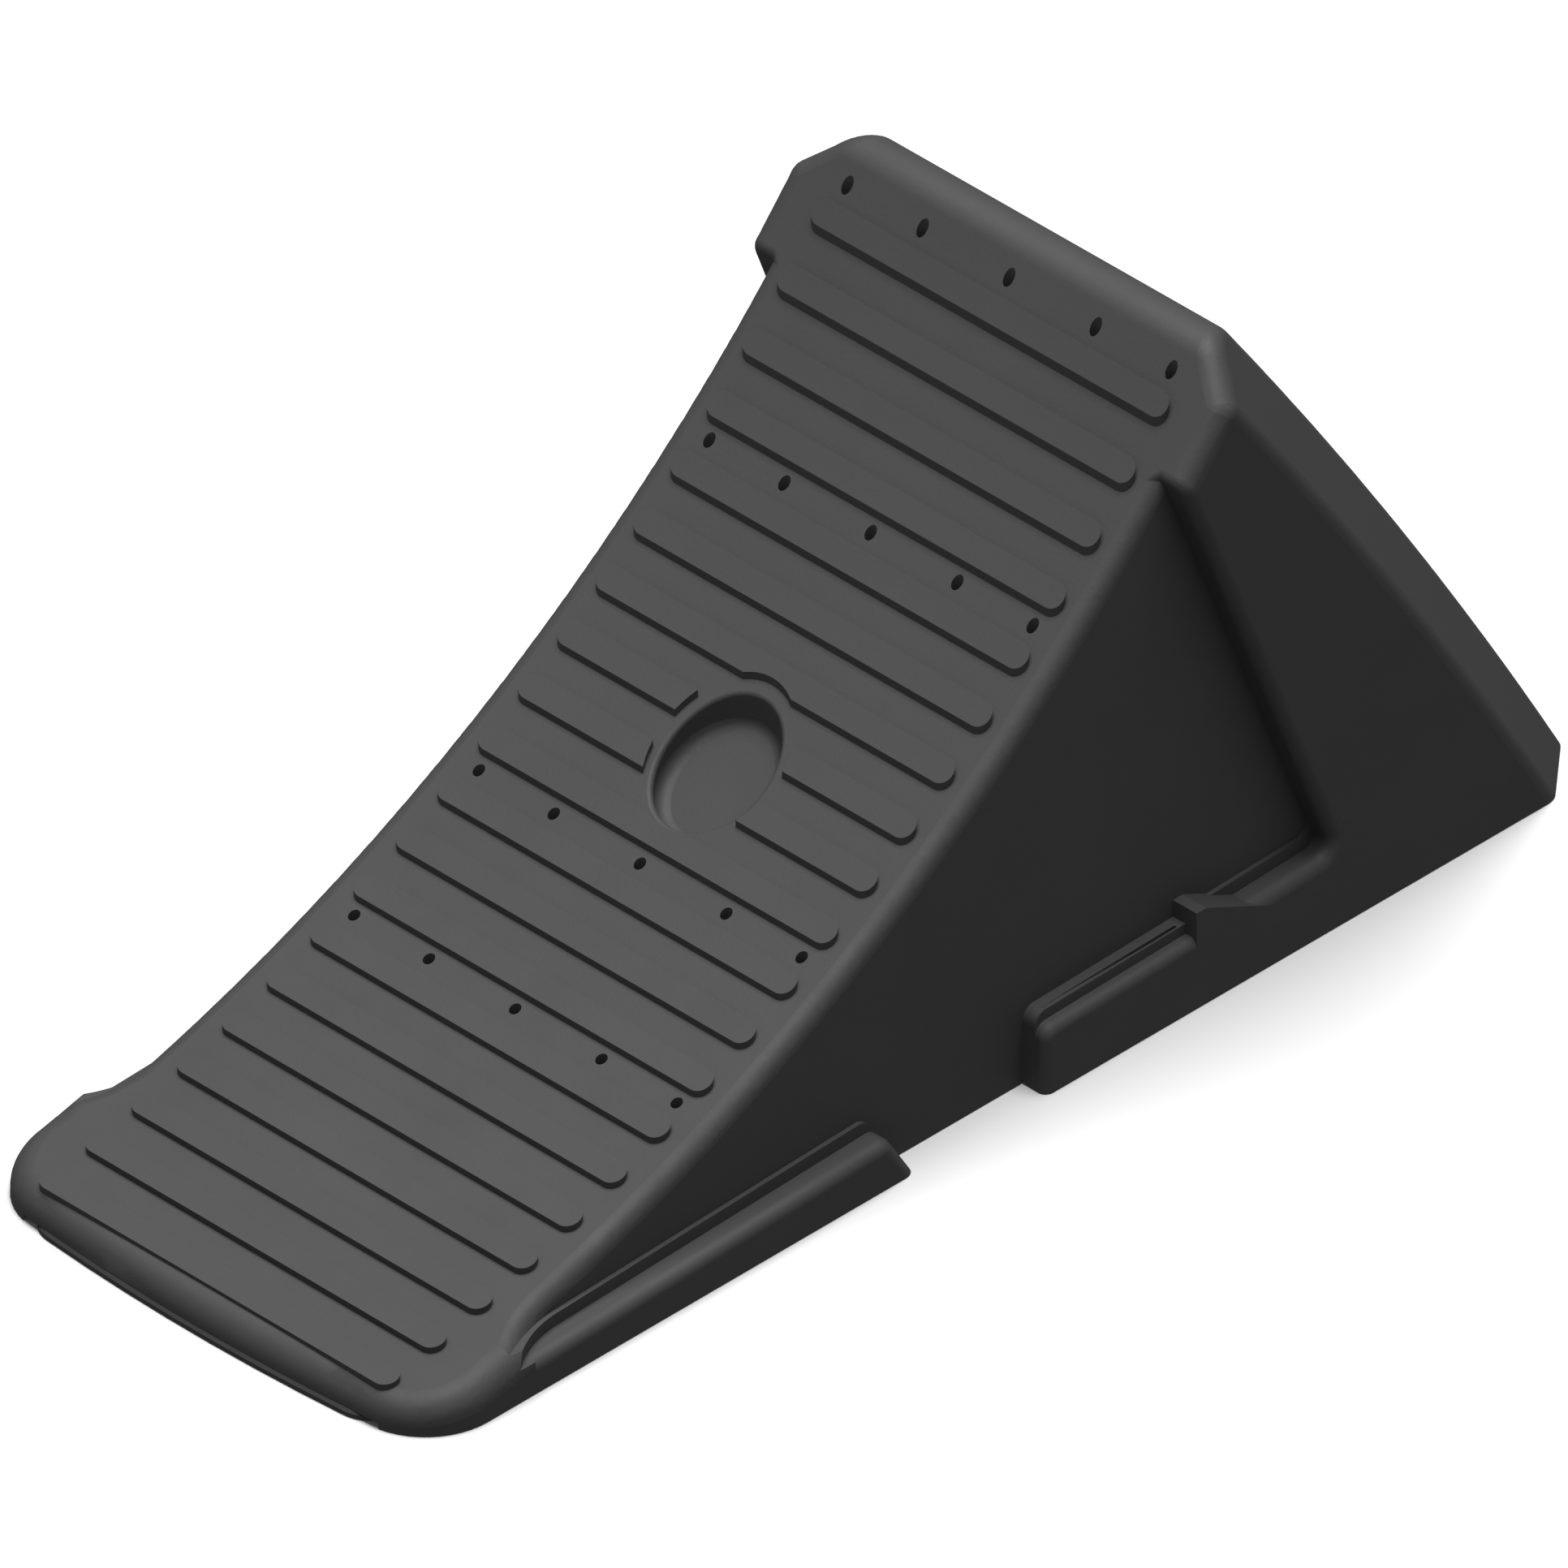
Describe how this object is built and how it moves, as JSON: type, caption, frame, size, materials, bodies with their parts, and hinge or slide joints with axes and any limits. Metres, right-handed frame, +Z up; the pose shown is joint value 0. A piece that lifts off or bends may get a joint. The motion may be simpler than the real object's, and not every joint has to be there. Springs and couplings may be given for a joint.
{
  "type": "wheel chock",
  "caption": "Curved wheel chock that also serves as a levelling ramp: concave tyre cradle with raised grip bars, stepped side rails and a padded flat base.",
  "frame": {"origin": "middle of the footprint, on the ground", "axes": "+X from the toe to the back, +Y across the chock, +Z up"},
  "size_m": [0.32, 0.1212, 0.1401],
  "materials": {
    "shell_plastic": "matte, fine moulded texture",
    "plate_plastic": "matte",
    "pad_rubber": "matte, grooved",
    "screw_steel": "zinc plated"
  },
  "bodies": {
    "root": {"ramp_shell": "shell_plastic", "base_plate": "plate_plastic", "rib_core": "plate_plastic", "base_screws": "screw_steel", "toe_grip_pad": "pad_rubber", "heel_grip_pad": "pad_rubber", "left_grip_pad": "pad_rubber", "right_grip_pad": "pad_rubber"}
  },
  "joints": []
}
